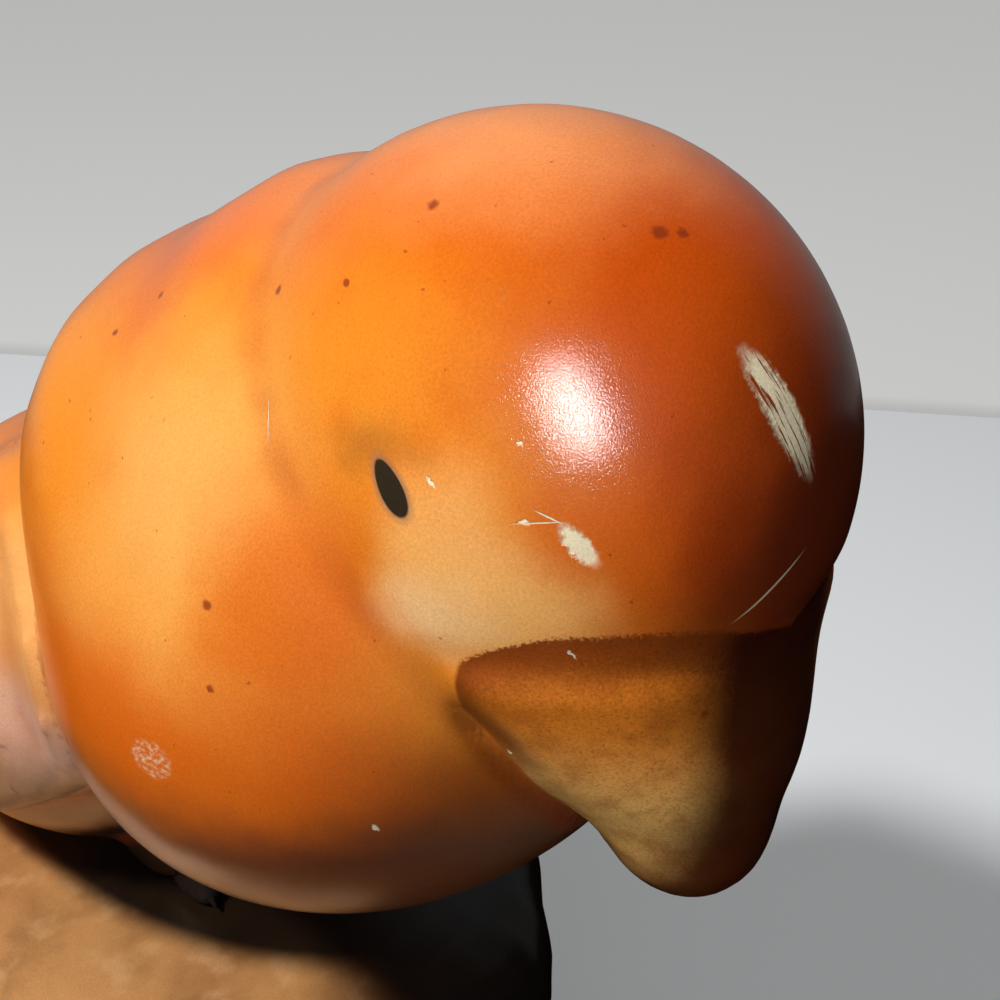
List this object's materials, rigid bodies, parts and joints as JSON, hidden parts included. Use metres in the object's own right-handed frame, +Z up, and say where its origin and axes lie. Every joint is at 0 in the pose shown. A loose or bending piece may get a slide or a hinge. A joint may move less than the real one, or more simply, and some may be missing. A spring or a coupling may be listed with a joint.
{
  "type": "parrot figurine",
  "caption": "Glazed ceramic parrot with a domed head and hooked beak, leaning forward over a tree stump on a flat plinth.",
  "frame": {"origin": "underside of the plinth, beneath the belly", "axes": "+Z up; the bird looks along -Y, with its right wing at -X"},
  "size_m": [0.152, 0.2672, 0.2947],
  "materials": {
    "orange_glaze": "satin, airbrushed",
    "brown_glaze": "satin",
    "tan_glaze": "satin",
    "umber_glaze": "satin"
  },
  "bodies": {
    "root": {"body_casting": "orange_glaze", "head_casting": "orange_glaze", "beak": "brown_glaze", "right_wing": "orange_glaze", "left_wing": "orange_glaze", "tail": "orange_glaze", "right_thigh": "orange_glaze", "left_thigh": "orange_glaze", "right_foot": "brown_glaze", "left_foot": "brown_glaze", "stump_casting": "tan_glaze", "plinth": "umber_glaze"}
  },
  "joints": []
}
